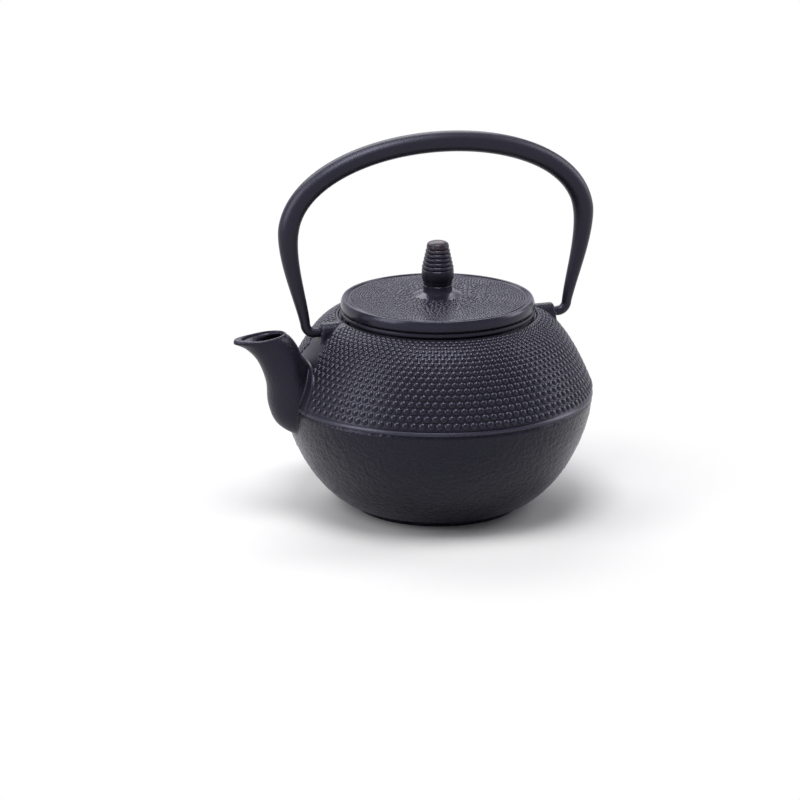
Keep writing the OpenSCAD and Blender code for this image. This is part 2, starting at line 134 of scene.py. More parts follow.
def spin_outline(name, outline, steps):
    """A turned piece: half its outline, drawn from the axis round to the axis, is spun about Z."""
    select_only()
    bpy.ops.mesh.primitive_plane_add(size=MM, location=(outline[0][0], 0, outline[0][1]))
    piece = bpy.context.active_object
    piece.name = name
    bpy.ops.object.transform_apply(location=True, rotation=False, scale=False)
    bpy.ops.object.mode_set(mode="EDIT")
    bpy.ops.mesh.select_all(action="SELECT")
    bpy.ops.mesh.merge(type="CENTER")
    for here, there in zip(outline, outline[1:]):
        step = (there[0] - here[0], 0, there[1] - here[1])
        bpy.ops.mesh.extrude_vertices_move(TRANSFORM_OT_translate={"value": step})
    bpy.ops.mesh.select_all(action="SELECT")
    bpy.ops.mesh.spin(steps=steps, angle=2 * math.pi, center=(0, 0, 0), axis=(0, 0, 1))
    bpy.ops.mesh.select_all(action="SELECT")
    bpy.ops.mesh.remove_doubles(threshold=2e-6)
    bpy.ops.mesh.normals_make_consistent(inside=False)
    bpy.ops.object.mode_set(mode="OBJECT")
    return piece


def modify(piece, kind, **settings):
    """Adds one modifier, sets it and applies it."""
    select_only(piece)
    modifier = piece.modifiers.new(kind.title(), kind)
    for key, value in settings.items():
        setattr(modifier, key, value)
    bpy.ops.object.modifier_apply(modifier=modifier.name)


def finish_piece(piece, body, slot, *materials, stands_for=(), smooth=40):
    """Smooths a piece, gives it its materials and ties it to its CAD body."""
    select_only(piece)
    bpy.ops.object.shade_smooth_by_angle(angle=math.radians(smooth))
    piece.data.materials.clear()
    for material in materials:
        piece.data.materials.append(material)
    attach(piece, body)
    if stands_for:
        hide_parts(*stands_for)
    print("%s: %d faces" % (piece.name, len(piece.data.polygons)))


# %% [markdown]
# ## Colours and nodes
# Colours are written as the hex values that a paint chart gives, and one function turns them to the linear
# values that Blender mixes in. One small function adds a node, sets it and links it.

# %% Colour and node helpers
# a Mix node has its two colour inputs and its colour output after those for numbers and vectors
MIX_A, MIX_B, MIX_OUT = 6, 7, 2


def linear(hex_colour):
    channels = [int(hex_colour[i:i + 2], 16) / 255 for i in (1, 3, 5)]
    return (*[c / 12.92 if c <= 0.04045 else ((c + 0.055) / 1.055) ** 2.4 for c in channels], 1)


def add_node(material, kind, settings=None, **links):
    """Adds a node. settings holds its own options. links holds its inputs: a value, or a socket to link."""
    tree = material.node_tree
    made = tree.nodes.new(kind)
    for key, value in (settings or {}).items():
        setattr(made, key, value)
    for name, value in links.items():
        socket = made.inputs[name.replace("_", " ")]
        if isinstance(value, bpy.types.NodeSocket):
            tree.links.new(value, socket)
        else:
            socket.default_value = value
    return made


def new_material(name):
    """An empty material: its shader, and the Object coordinates that every pattern reads."""
    material = bpy.data.materials.new(name)
    material.use_nodes = True
    shader = material.node_tree.nodes["Principled BSDF"]
    place = add_node(material, "ShaderNodeTexCoord").outputs["Object"]
    return material, shader, place


# %% [markdown]
# ## The lacquered iron
# The pot is grey iron, cast in sand and coated with a thin black lacquer with a touch of blue. The lacquer is
# a plastic-like film, so it isn't a metal to the shader: it has a dark colour and a soft, broad gloss. The
# sand leaves a fine grain everywhere, and on the bowl a coarser skin like leather, a few millimetres across.
# The film is glossier on the dots than between them. Along the seam, where the two halves of the mould met,
# its colour is painted paler: a painted highlight for the light that the seam's bead catches from above.

# %% Lacquered cast iron
def cast_iron(name, colour, light_colour, gloss, grain_mm, ior=1.42, skin_mm=None, skin_height=0.0):
    """Lacquer on sand-cast iron: two close colours in clouds, a roughness that drifts round gloss, and the
    sand's grain as bump. skin_mm adds a coarser, folded skin."""
    material, shader, place = new_material(name)
    links = material.node_tree.links
    cloud = add_node(material, "ShaderNodeTexNoise", Vector=place, Scale=1 / (14 * MM), Detail=4.0)
    tint = add_node(material, "ShaderNodeMix", {"data_type": "RGBA"})
    links.new(cloud.outputs["Fac"], tint.inputs["Factor"])
    tint.inputs[MIX_A].default_value = linear(colour)
    tint.inputs[MIX_B].default_value = linear(light_colour)
    links.new(tint.outputs[MIX_OUT], shader.inputs["Base Color"])
    grain = add_node(material, "ShaderNodeTexNoise", Vector=place, Scale=1 / (grain_mm * MM), Detail=3.0)
    rough = add_node(material, "ShaderNodeMapRange", Value=grain.outputs["Fac"],
                     To_Min=gloss - 0.07, To_Max=gloss + 0.07)
    links.new(rough.outputs[0], shader.inputs["Roughness"])
    bump = add_node(material, "ShaderNodeBump", Strength=0.35, Distance=0.12 * MM,
                    Height=grain.outputs["Fac"])
    if skin_mm:
        skin = add_node(material, "ShaderNodeTexNoise", Vector=place, Scale=1 / (skin_mm * MM), Detail=2.0)
        fold = add_node(material, "ShaderNodeMapRange", Value=skin.outputs["Fac"],
                        From_Min=0.35, From_Max=0.65)
        bump = add_node(material, "ShaderNodeBump", Strength=0.8, Distance=skin_height * MM,
                        Height=fold.outputs[0], Normal=bump.outputs["Normal"])
    links.new(bump.outputs["Normal"], shader.inputs["Normal"])
    shader.inputs["IOR"].default_value = ior
    shader.inputs["Specular Tint"].default_value = linear("#e4e2ff")
    shader.inputs["Sheen Weight"].default_value = 0.03
    shader.inputs["Sheen Roughness"].default_value = 0.3
    shader.inputs["Sheen Tint"].default_value = linear("#8f8cff")
    return material


bowl_iron = cast_iron("leathery_cast_iron_lacquer", "#0f0e14", "#17161e", gloss=0.26, grain_mm=0.7, ior=1.35,
                      skin_mm=2.2, skin_height=0.22)
dot_iron = cast_iron("dotted_cast_iron_lacquer", "#0f0e14", "#18171f", gloss=0.21, grain_mm=0.6, ior=1.44)
shoulder_iron = cast_iron("shoulder_cast_iron_lacquer", "#0f0e14", "#18171f", gloss=0.34, grain_mm=0.6,
                          ior=1.4)
spout_iron = cast_iron("smooth_cast_iron_lacquer", "#0f0e14", "#17161e", gloss=0.36, grain_mm=0.8, ior=1.4,
                       skin_mm=1.5, skin_height=0.1)
lid_iron = cast_iron("lid_cast_iron_lacquer", "#15141c", "#201f2a", gloss=0.23, grain_mm=0.6, ior=1.38)
# the seam's lacquer is paler than the rest: a painted highlight on the seam's bead
painted_highlight_seam_iron = cast_iron("seam_painted_highlight_lacquer", "#24232c", "#32313b", gloss=0.28, grain_mm=0.6)
print("lacquers:", [m.name for m in (bowl_iron, dot_iron, shoulder_iron, spout_iron, lid_iron, painted_highlight_seam_iron)])

# %% [markdown]
# Fingers wear the knob first. Its tip lets the warm brown of oiled iron show through the lacquer, in patches
# that fade out downwards.

# %% Worn lacquer on the knob
knob_iron = cast_iron("worn_cast_iron_lacquer", "#100f15", "#18171f", gloss=0.34, grain_mm=0.5)


def wear(material, colour, low, high):
    """Mixes a worn colour into the base colour, more and more from a low to a high place, in patches."""
    shader = material.node_tree.nodes["Principled BSDF"]
    place = material.node_tree.nodes["Texture Coordinate"]
    height = add_node(material, "ShaderNodeSeparateXYZ", Vector=place.outputs["Object"]).outputs["Z"]
    rise = add_node(material, "ShaderNodeMapRange", Value=height, From_Min=low, From_Max=high)
    patch = add_node(material, "ShaderNodeTexNoise", Vector=place.outputs["Object"], Scale=1 / (5 * MM))
    worn = add_node(material, "ShaderNodeMath", {"operation": "MULTIPLY"})
    material.node_tree.links.new(rise.outputs[0], worn.inputs[0])
    material.node_tree.links.new(patch.outputs["Fac"], worn.inputs[1])
    mixed = add_node(material, "ShaderNodeMix", {"data_type": "RGBA"}, Factor=worn.outputs[0])
    material.node_tree.links.new(shader.inputs["Base Color"].links[0].from_socket, mixed.inputs[MIX_A])
    mixed.inputs[MIX_B].default_value = linear(colour)
    material.node_tree.links.new(mixed.outputs[MIX_OUT], shader.inputs["Base Color"])


wear(knob_iron, "#3d2f29", low=knob_high.z - 8 * MM, high=knob_high.z - 1 * MM)

# %% [markdown]
# The bail is smooth drawn bar under the same lacquer, so it gets a finer grain and a calmer gloss.
# The inside of the pot is enamel: glass that is melted onto the iron, deep black and nearly a mirror. The tea
# basket is stainless sheet, brushed as it turned, so that it mirrors the room in soft streaks.

# %% Satin bar, enamel and stainless steel
bar_lacquer = cast_iron("satin_black_lacquer_on_steel", "#111017", "#16151d", gloss=0.38, grain_mm=0.35)


def enamel():
    material, shader, place = new_material("fused_black_enamel")
    links = material.node_tree.links
    flow = add_node(material, "ShaderNodeTexNoise", Vector=place, Scale=1 / (9 * MM), Detail=1.0)
    bump = add_node(material, "ShaderNodeBump", Strength=0.25, Distance=0.3 * MM, Height=flow.outputs["Fac"])
    links.new(bump.outputs["Normal"], shader.inputs["Normal"])
    rough = add_node(material, "ShaderNodeMapRange", Value=flow.outputs["Fac"], To_Min=0.06, To_Max=0.14)
    links.new(rough.outputs[0], shader.inputs["Roughness"])
    shader.inputs["Base Color"].default_value = linear("#0c0c0e")
    shader.inputs["IOR"].default_value = 1.52
    return material


def stainless():
    material, shader, place = new_material("brushed_stainless_sheet")
    links = material.node_tree.links
    stretch = add_node(material, "ShaderNodeMapping", Vector=place)
    stretch.inputs["Scale"].default_value = (1, 1, 14)
    brush = add_node(material, "ShaderNodeTexNoise", Vector=stretch.outputs[0], Scale=1 / (5 * MM),
                     Detail=4.0)
    rough = add_node(material, "ShaderNodeMapRange", Value=brush.outputs["Fac"], To_Min=0.2, To_Max=0.36)
    links.new(rough.outputs[0], shader.inputs["Roughness"])
    bump = add_node(material, "ShaderNodeBump", Strength=0.15, Distance=0.05 * MM,
                    Height=brush.outputs["Fac"])
    links.new(bump.outputs["Normal"], shader.inputs["Normal"])
    shader.inputs["Base Color"].default_value = linear("#c9cacc")
    shader.inputs["Metallic"].default_value = 1.0
    return material


enamel_black = enamel()
sheet_steel = stainless()
print("other finishes:", [m.name for m in (knob_iron, bar_lacquer, enamel_black, sheet_steel)])

# %% [markdown]
# ## The casting
# The outline climbs from the foot ring up the bowl to the raised seam, over the shoulder to the plain collar,
# then down inside: the ledge for the tea basket, and the hollow one wall away.
# It is spun fine enough that the bowl can carry a real, shallow leathery relief.

# %% Outline of the casting
side_r = belly_r - 0.4 * MM
bowl = curve([(foot_r, foot_h), (foot_r + 23 * MM, foot_h + 7 * MM), (side_r, seam_z - 18 * MM),
              (side_r, seam_z - 1 * MM)], 56)
shoulder = curve([(side_r, seam_z + seam_band), (side_r - 3.8 * MM, seam_z + seam_band + 9.4 * MM),
                  (collar_r + 15.8 * MM, collar_z + 0.2 * MM), (collar_r, collar_z)], 60)
# the seam, from below: an undercut, a round bead that catches the light, and a narrow groove above it
seam_bead = steps_from(side_r, seam_z, [
    (-0.05, -1.75), (-0.45, -0.95), (-0.62, -0.4), (-0.45, -0.1), (-0.1, -0.05), (0.25, 0.1), (0.38, 0.4),
    (0.36, 0.75), (0.2, 1.15), (-0.1, 1.6), (-0.5, 2.05), (-0.85, 2.35), (-0.9, 2.6), (-0.4, 2.9)])
# the collar, from below: a dark groove beside the last dots, and a low lip that stands out over it
collar_foot = steps_from(collar_r, collar_z, [
    (1.4, -1.1), (-0.4, -1.2), (-0.9, -0.7), (-0.7, -0.1), (0.3, 0.2), (0.7, 0.5), (0.75, 1.3), (0.5, 2.1),
    (-0.6, 2.7)])
outside = [p for p in bowl if p.y < seam_z - 1.9 * MM] + seam_bead
outside += [p for p in shoulder if p.x > collar_r + 1.9 * MM] + collar_foot
mouth_edge = arc((collar_r - 1.4 * MM, mouth_z - 0.8 * MM), 0.8 * MM, 0, 90, 4)
mouth_inner_edge = arc((mouth_r + 0.6 * MM, mouth_z - 0.6 * MM), 0.6 * MM, 90, 180, 3)
foot_edge = arc((foot_r - 0.8 * MM, 0.8 * MM), 0.8 * MM, -90, 0, 4)
foot_inner = foot_r - foot_w
foot = [Vector((0, foot_h)), Vector((foot_inner - 0.5 * MM, foot_h)), Vector((foot_inner, foot_h - 0.5 * MM)),
        Vector((foot_inner, 0.4 * MM)), Vector((foot_inner + 0.4 * MM, 0))]
hollow = [p for p in beside(shoulder, wall)[::-1] if p.x > ledge_r + wall]
hollow += [p for p in beside(bowl, wall)[::-1] if p.y > floor_z + 0.5 * MM]
inside = [Vector(p) for p in [
    (mouth_r, ledge_z + 0.4 * MM), (mouth_r - 0.4 * MM, ledge_z), (ledge_r + 0.4 * MM, ledge_z),
    (ledge_r, ledge_z - 0.4 * MM), (ledge_r, ledge_z - wall + 1 * MM)]]
pot_outline = foot + foot_edge + outside + mouth_edge + mouth_inner_edge + inside + hollow
pot_outline += [Vector((0, floor_z))]
print("the casting's outline has", len(pot_outline), "points")


def outer_r(z):
    """The casting's outer radius at a height."""
    for low, high in zip(outside, outside[1:]):
        if low.y <= z <= high.y and high.y > low.y:
            return low.x + (high.x - low.x) * (z - low.y) / (high.y - low.y)
    return collar_r if z > collar_z else foot_r


# %% Spin the casting
pot_shell = spin_outline("pot_casting", pot_outline, steps=288)


def is_inside(face):
    """True for a face of the hollow, which is enamelled up to the ledge."""
    centre = face.center
    if not floor_z - 0.1 * MM < centre.z <= ledge_z:
        return False
    radius = math.hypot(centre.x, centre.y)
    return radius < ledge_r + 0.2 * MM or radius < outer_r(centre.z) - wall / 2


print("faces to be enamelled:", sum(is_inside(face) for face in pot_shell.data.polygons))

# %% [markdown]
# The bowl's leathery skin is real relief: the mould was dressed by hand with coarse sand. A cloud texture
# moves the bowl's faces in and out by a fraction of a millimetre, and fades out at the foot and at the seam.

# %% Relief on the bowl
def relief_group(piece, name, weight_of):
    """A vertex group whose weights come from a function of each vertex's place."""
    group = piece.vertex_groups.new(name=name)
    for vertex in piece.data.vertices:
        weight = weight_of(vertex.co)
        if weight > 0:
            group.add([vertex.index], weight, "REPLACE")
    return group.name


def bowl_weight(place):
    """1 on the bowl's outside. It fades to 0 over 6 mm at the foot and over 3 mm under the seam."""
    low, high = 3 * MM, seam_z - 2 * MM
    radius = math.hypot(place.x, place.y)
    if radius < outer_r(place.z) - 0.3 * MM or not low < place.z < high:
        return 0
    return min(1, (place.z - low) / (6 * MM), (high - place.z) / (3 * MM))


leather = bpy.data.textures.new("leather", "CLOUDS")
leather.noise_scale = 3.4 * MM
leather.noise_depth = 2
leather.noise_basis = "VORONOI_F2_F1"
leather.contrast = 1.2
modify(pot_shell, "DISPLACE", texture=leather, texture_coords="LOCAL", strength=0.5 * MM, mid_level=0.55,
       vertex_group=relief_group(pot_shell, "bowl", bowl_weight))
print("relief moved the bowl; its box is", [round(v / MM, 1) for v in pot_shell.dimensions])

# %% [markdown]
# ## The spout
# The spout is cast with the pot. It is an oval tube that leaves the belly at the seam, turns up and flares
# forward to a pointed lip. It follows the stations of the CAD model: the outer edge, the inner edge and the
# half width, with x counted from the belly and z from the seam. The tube is lofted one extruded ring at a
# time.

# %% Spout stations
lip_x = -spout_low.x - belly_r - 0.02 * MM
heel_x = lip_x - 29 * MM
rise = spout_high.z - seam_z - 1.6 * MM
lip_round = 1.1 * MM
half_root, half_mouth = 14 * MM, 9 * MM
stations = [
    (-10.5 * MM, -17 * MM, -19 * MM, 21.5 * MM, half_root),
    (-2.5 * MM, -15.8 * MM, -14.5 * MM, 22 * MM, half_root),
    (6.8 * MM, -9 * MM, -11.5 * MM, 23 * MM, half_root - 0.6 * MM),
    (11 * MM, 1.5 * MM, -9.5 * MM, 24.8 * MM, half_root - 1.3 * MM),
    (12 * MM, 13.5 * MM, -6.7 * MM, 28.6 * MM, half_root - 2.3 * MM),
    (16.6 * MM, rise - 13.7 * MM, -4.6 * MM, rise - 5.9 * MM, half_mouth + 1.1 * MM),
    (lip_x - 6.8 * MM, rise - 6.2 * MM, heel_x - 2.4 * MM, rise - 1.3 * MM, half_mouth + 0.3 * MM),
    (lip_x, rise - 2.6 * MM, heel_x, rise + 0.6 * MM, half_mouth),
]


def station_at(place):
    """The spout's station at a place from 0, its root, to 1, its lip."""
    along = place * (len(stations) - 1)
    i = min(int(along), len(stations) - 2)
    t = along - i
    a, b, c, d = (stations[min(max(i + k, 0), len(stations) - 1)] for k in (-1, 0, 1, 2))
    return [0.5 * (2 * q + (r - p) * t + (2 * p - 5 * q + 4 * r - s) * t * t
                   + (3 * q - p - 3 * r + s) * t ** 3)
            for p, q, r, s in zip(a, b, c, d)]


def spout_ring(place, inset, sides, raised=0.0, pouring=0.0):
    """Points of one oval of the spout. The ovals get egg-shaped towards the mouth. inset is how far it lies
    inside the skin, raised how far it stands over its station, and pouring how much more iron the pouring
    edge has than the rest."""
    x_out, z_out, x_in, z_in, half_width = station_at(place)
    low = Vector((-belly_r - x_out, 0, seam_z + z_out))
    high = Vector((-belly_r - x_in, 0, seam_z + z_in))
    low += (high - low).normalized() * pouring
    reach = (low - high) / 2
    reach = reach.normalized() * (reach.length - inset)
    up = Vector((reach.z, 0, -reach.x)).normalized()
    up = up if up.z > 0 or place < 0.5 else -up
    points = []
    for k in range(sides):
        angle = 2 * math.pi * k / sides
        side = (half_width - inset) * math.sin(angle) * (1 - 0.12 * place ** 2 * math.cos(angle))
        points.append((low + high) / 2 + reach * math.cos(angle) + Vector((0, side, 0))
                      + raised * (1 + 0.9 * max(0, math.cos(angle)) ** 2) * up)
    return points


def loft(name, rings, close_ends):
    """A skin over rings of points. With close_ends its ends are capped, or else the last ring joins the
    first."""
    sides = len(rings[0])
    select_only()
    bpy.ops.mesh.primitive_circle_add(vertices=sides, radius=MM,
                                      fill_type="NGON" if close_ends else "NOTHING")
    piece = bpy.context.active_object
    piece.name = name
    bpy.ops.object.mode_set(mode="EDIT")
    bpy.ops.mesh.select_all(action="SELECT")
    for i, ring in enumerate(rings):
        if i:
            bpy.ops.mesh.extrude_edges_move()
        mesh = bmesh.from_edit_mesh(piece.data)
        mesh.verts.ensure_lookup_table()
        for vertex, point in zip(mesh.verts[i * sides:], ring):
            vertex.co = point
        bmesh.update_edit_mesh(piece.data)
    if close_ends:
        bpy.ops.mesh.edge_face_add()
    else:
        mesh = bmesh.from_edit_mesh(piece.data)
        mesh.verts.ensure_lookup_table()
        for vertex in mesh.verts:
            vertex.select = vertex.index < sides or vertex.index >= (len(rings) - 1) * sides
        mesh.select_flush(True)
        bmesh.update_edit_mesh(piece.data)
        bpy.ops.mesh.bridge_edge_loops()
    bpy.ops.mesh.select_all(action="SELECT")
    bpy.ops.mesh.normals_make_consistent(inside=False)
    bpy.ops.object.mode_set(mode="OBJECT")
    return piece


# %% [markdown]
# Where the spout leaves the belly, the pattern has a soft fillet. Each lengthwise line of the spout is
# followed to the place where it leaves the casting. From there one leg of the fillet runs on the belly and
# one on the spout, and a curve joins them.

# %% Spout with its root fillet
spout_sides = 56
spout_wall = 2.6 * MM
fillet = 0.8 * MM
fillet_steps = 6
outer_count = 34
lip_share = 0.006
fine = 240


def level(point):
    """The level direction from the pot's axis to a point."""
    return Vector((point.x, point.y, 0)).normalized()


def sunk(point, depth):
    """The point moved level, to depth below the casting's outside."""
    return level(point) * (outer_r(point.z) - depth) + Vector((0, 0, point.z))


def skin_point(direction, z):
    """The point of the casting's outside in a level direction, at a height."""
    return Vector((direction.x * outer_r(z), direction.y * outer_r(z), z))


def out_of_casting(point):
    """How far a point stands out of the casting, or less than 0 inside it."""
    return math.hypot(point.x, point.y) - outer_r(point.z)


def leaves_at(line):
    """The place along a lengthwise line where it comes out of the casting."""
    for i, (point, after) in enumerate(zip(line, line[1:])):
        if out_of_casting(point) <= 0 < out_of_casting(after):
            gap = -out_of_casting(point)
            return i + gap / max(gap + out_of_casting(after), 1e-9)
    return 0


ovals = [spout_ring(i / fine, 0, spout_sides) for i in range(fine + 1)]
lines = list(zip(*ovals))
middles = [sum(oval, Vector()) / spout_sides for oval in ovals]
root_rings = [[] for _ in range(fillet_steps + 2)]
starts = []
for line in lines:
    at = leaves_at(line)
    i = int(at)
    leaving = line[i].lerp(line[i + 1], at - i)
    walked, j = 0.0, i + 1
    while walked < fillet:
        walked += (line[j + 1] - line[j]).length
        j += 1
    starts.append(j / fine)
    radial = level(leaving)
    slope = skin_point(radial, leaving.z + MM) - skin_point(radial, leaving.z - MM)
    skin_normal = Vector((-radial.y, radial.x, 0)).cross(slope).normalized()
    away = leaving - middles[i]
    away = (away - away.dot(skin_normal) * skin_normal).normalized()
    landing = sunk(leaving + fillet * away, 0.12 * MM)
    root_rings[0].append(sunk(leaving + 0.5 * fillet * away, 2.2 * MM))
    for k in range(fillet_steps + 1):
        t = k / fillet_steps
        root_rings[k + 1].append((1 - t) ** 2 * landing + 2 * (1 - t) * t * leaving + t * t * line[j])
outer_rings = []
for i in range(1, outer_count + 1):
    ring = []
    for line, start in zip(lines, starts):
        place = (start + (1 - lip_share - start) * i / outer_count) * fine
        ring.append(line[int(place)].lerp(line[min(int(place) + 1, fine)], place - int(place)))
    outer_rings.append(ring)
lip_rings = []
for turn in (0, 22, 45, 68, 90):
    turn = math.radians(turn)
    lip_rings.append(spout_ring(1, lip_round * (1 - math.cos(turn)), spout_sides, lip_round * math.sin(turn)))
for inset, raised, pouring in ((1.25, 1.0, 2.4), (1.5, 0.7, 2.9), (1.7, 0.3, 3)):
    lip_rings.append(spout_ring(1, inset * MM, spout_sides, raised * MM, pouring * MM))
# inside the lip the bore widens to a shallow trough: its wall, and the extra iron at the pouring edge
trough = [(1.7, 3.0), (2.3, 3.8), (2.7, 4.3), (2.9, 4.0), (2.9, 2.9), (2.75, 1.5), (2.65, 0.5)]
bore_rings = []
bore_count, bore_reach = 30, 0.86
for i in range(bore_count + 1):
    inset, pouring = trough[i] if i < len(trough) else (spout_wall / MM, 0)
    bore_rings.append(spout_ring(1 - bore_reach * i / bore_count, inset * MM, spout_sides, 0, pouring * MM))
spout = loft("spout_casting", root_rings + outer_rings + lip_rings + bore_rings, close_ends=False)
print("spout box:", [round(v / MM, 1) for v in spout.dimensions])

# %% [markdown]
# The bore goes on through the belly's wall. A plug in the shape of the bore is cut out of the casting.

# %% Bore through the belly
plug_count, plug_reach = 12, 0.4
plug_rings = [spout_ring(plug_reach * i / plug_count, spout_wall - 0.15 * MM, spout_sides)
              for i in range(plug_count + 1)]
plug_rings.insert(0, [p + Vector((9 * MM, 0, 0)) for p in plug_rings[0]])
plug = loft("bore_plug", plug_rings, close_ends=True)
modify(pot_shell, "BOOLEAN", operation="DIFFERENCE", solver="EXACT", object=plug)
bpy.data.objects.remove(plug)
print("the casting now has", len(pot_shell.data.polygons), "faces")

# %% [markdown]
# ## The ears
# Two ears carry the bail. Each is a rounded ridge that runs out from the collar, with hollow flanks that
# spread onto the shoulder and a flat face that leans out. The section is drawn once and extruded along the
# ridge. A blind hole is drilled in the ear for the pin of the bail.

# %% Ears
ear_x = 66.6 * MM
ear_r = 5 * MM
ear_foot_x = 70.2 * MM
ear_drop = 14.6 * MM
ear_half = 9.5 * MM
pin_hole_r = 2.7 * MM


def ear_section(x_of):
    """The ear's section: a round top, hollow flanks and a flat underside. x_of gives each height its x."""
    top = arc((0, pin_z), ear_r, 0, 180, 14)
    left = curve([(-ear_r, pin_z), (-ear_r, pin_z - 5 * MM), (-ear_r - 0.6 * MM, pin_z - 10 * MM),
                  (-ear_half, pin_z - ear_drop)], 8)[1:]
    right = [Vector((-p.x, p.y)) for p in left[::-1]]
    return [Vector((x_of(p.y), p.x, p.y)) for p in top + left + right]


def leaning(z):
    """The x of the ear's end face, which leans out towards its foot."""
    down = min(max((pin_z - z) / ear_drop, 0), 1)
    return ear_x + (ear_foot_x - ear_x) * down


ear_steps = [collar_r - 2 * MM, ear_x - 9 * MM, ear_x - 1.3 * MM]
ear = loft("bail_ears", [ear_section(lambda z, x=x: x + leaning(z) - ear_x) for x in ear_steps]
           + [ear_section(leaning)], close_ends=True)
modify(ear, "BEVEL", width=1.1 * MM, segments=4, limit_method="ANGLE", angle_limit=math.radians(50))
select_only()
bpy.ops.mesh.primitive_cylinder_add(vertices=40, radius=pin_hole_r, depth=16 * MM, location=(ear_x, 0, pin_z),
                                    rotation=(0, math.pi / 2, 0))
drill = bpy.context.active_object
modify(ear, "BOOLEAN", operation="DIFFERENCE", solver="EXACT", object=drill)
bpy.data.objects.remove(drill)


def copy_of(piece):
    """A copy with a mesh of its own, selected."""
    select_only(piece)
    bpy.ops.object.duplicate()
    return bpy.context.active_object


def join(pieces):
    """Joins pieces into the first of them, with their places written into the mesh."""
    select_only(*pieces)
    bpy.ops.object.transform_apply(location=True, rotation=True, scale=True)
    bpy.ops.object.join()
    return bpy.context.active_object


other_ear = copy_of(ear)
other_ear.rotation_euler.z = math.pi
ear = join([ear, other_ear])
print("ears:", len(ear.data.polygons), "faces")

# %% [markdown]
# ## The bead round the spout
# A thin raised line frames the smooth field from which the spout grows. It lies on the shoulder and ends at
# the seam. It is a round bar, bent along the surface with its centre line a little below it.

# %% Spout bead
field_rise = 23.5 * MM
field_half = 21 * MM
bead_rise = 23 * MM
bead_bar_r = 1.2 * MM
bead_depth = 0.35 * MM
bead_count = 64


def tube(name, points, radii, sides, closed=False):
    """A bar along a path, with a radius at each point, turned into a mesh."""
    line = bpy.data.curves.new(name, "CURVE")
    line.dimensions = "3D"
    line.bevel_depth = 1
    line.bevel_resolution = sides // 4 - 1
    line.use_fill_caps = not closed
    path = line.splines.new("POLY")
    path.points.add(len(points) - 1)
    path.use_cyclic_u = closed
    for point, place, radius in zip(path.points, points, radii):
        point.co = (*place, 1)
        point.radius = radius
    piece = bpy.data.objects.new(name, line)
    bpy.context.scene.collection.objects.link(piece)
    select_only(piece)
    bpy.ops.object.convert(target="MESH")
    bpy.ops.object.mode_set(mode="EDIT")
    bpy.ops.mesh.select_all(action="SELECT")
    bpy.ops.mesh.remove_doubles(threshold=1e-6)
    bpy.ops.mesh.normals_make_consistent(inside=False)
    bpy.ops.object.mode_set(mode="OBJECT")
    return bpy.context.active_object


def frame_half_width(z):
    """Half the width of the smooth field round the spout, at a height above the seam."""
    t = min(max((z - seam_z) / field_rise, 0), 1)
    return field_half * math.sqrt(max(1 - t ** 3.2, 0))


bead_line = []
for i in range(bead_count + 1):
    turn = math.pi * i / bead_count
    z = seam_z + 0.4 * MM + bead_rise * math.sin(turn) ** 0.8
    y = frame_half_width(z) * (1 if turn < math.pi / 2 else -1) if abs(turn - math.pi / 2) > 0.01 else 0
    radius = outer_r(z) - bead_depth
    bead_line.append(Vector((-math.sqrt(radius ** 2 - y ** 2), y, z)))
bead = tube("spout_bead", bead_line, [bead_bar_r] * len(bead_line), sides=12)
print("spout bead:", len(bead.data.polygons), "faces")

# %% [markdown]
# ## The cast dots
# The shoulder is covered with arare, rows of small round dots that a caster presses one by one into the
# mould. Every row has as many dots, so the dots shrink with the radius towards the collar, and each row is
# turned by half a step. A hand never presses two dots alike, so their sizes and places vary a little. One
# dome is modelled, and stamped along the rows. Dots stay off the ears and the spout's field.

# %% One dot, and the stamp
def dome(name, sides, rings, radius, height):
    """A round dome that sinks a little below its base, as a mesh with no cover underneath."""
    select_only()
    bpy.ops.mesh.primitive_uv_sphere_add(segments=sides, ring_count=2 * rings, radius=radius)
    piece = bpy.context.active_object
    piece.name = name
    bpy.ops.object.mode_set(mode="EDIT")
    bpy.ops.mesh.select_all(action="SELECT")
    bpy.ops.mesh.bisect(plane_co=(0, 0, -0.02 * radius), plane_no=(0, 0, 1), clear_inner=True)
    bpy.ops.mesh.select_all(action="SELECT")
    bpy.ops.transform.resize(value=(1, 1, height / radius), center_override=(0, 0, 0))
    bpy.ops.object.mode_set(mode="OBJECT")
    return piece


def stamp(name, pattern, places):
    """One mesh with a copy of the pattern at each place, a matrix."""
    mesh = bmesh.new()
    for place in places:
        count = len(mesh.verts)
        mesh.from_mesh(pattern.data)
        mesh.verts.ensure_lookup_table()
        bmesh.ops.transform(mesh, matrix=place, verts=mesh.verts[count:])
    data = bpy.data.meshes.new(name)
    mesh.to_mesh(data)
    mesh.free()
    piece = bpy.data.objects.new(name, data)
    bpy.context.scene.collection.objects.link(piece)
    return piece


def standing_at(point, normal, size, turn=0.0):
    """A matrix that stands a pattern on a surface, along its normal."""
    tilt = normal.to_track_quat("Z", "Y").to_matrix().to_4x4()
    return Matrix.Translation(point) @ tilt @ Matrix.Rotation(turn, 4, "Z") @ Matrix.Scale(size, 4)


# %% Rows of dots on the shoulder
dots_in_row = 116
dot_share = 0.45
first_row = 2.2 * MM
plain_end = 3.4 * MM
ear_margin = 2.6 * MM
field_margin = 1.6 * MM
hand = random.Random(7)


def row_share(walked):
    """Distance from row to row, as a share of the pitch in a row. The rows close up towards the collar."""
    return 0.86 - 0.16 * min(max((walked - 13 * MM) / (23 * MM), 0), 1)


def along_line(line, distance):
    """The point and the outward normal at a distance along a line of (r, z)."""
    for here, there in zip(line, line[1:]):
        step = (there - here).length
        if distance <= step:
            slope = (there - here).normalized()
            return here + slope * distance, Vector((slope.y, -slope.x))
        distance -= step
    return None, None


